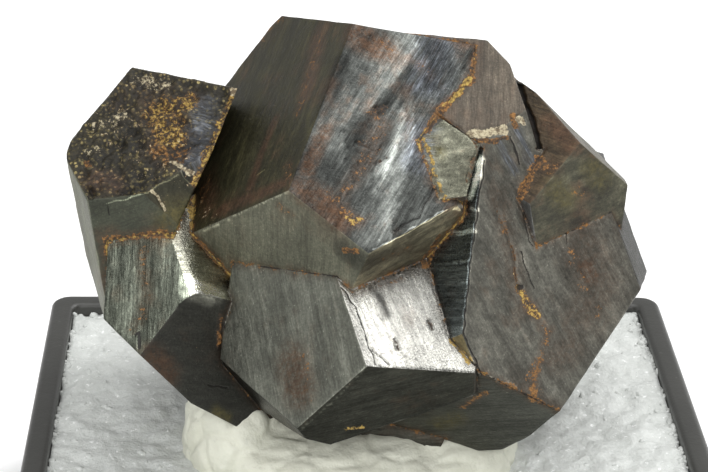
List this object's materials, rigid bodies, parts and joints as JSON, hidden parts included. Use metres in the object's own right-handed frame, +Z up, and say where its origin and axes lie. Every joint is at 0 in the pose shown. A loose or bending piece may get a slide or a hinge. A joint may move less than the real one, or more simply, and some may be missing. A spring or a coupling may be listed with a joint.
{
  "type": "goethite pseudomorph after pyrite",
  "caption": "Cluster of intergrown dark metallic goethite crystals in the form of pyrite, set in putty on a foam bed in a square display base.",
  "frame": {"origin": "middle of the display base's underside", "axes": "+Z up, +X to the right along the base's back edge, +Y away from the viewer"},
  "size_m": [0.0334, 0.0334, 0.0298],
  "materials": {
    "goethite": "dark brown to steel grey crystal faces, striated, submetallic, with rust and ochre limonite in the seams",
    "putty": "matt off-white mounting putty, softly pressed",
    "foam": "torn white polystyrene foam, crumbly, slightly translucent beads",
    "base_plastic": "moulded black polystyrene with a soft sheen"
  },
  "bodies": {
    "root": {"crystal_cluster": "goethite", "mounting_putty": "putty", "foam_bed": "foam", "display_base": "base_plastic"}
  },
  "joints": []
}
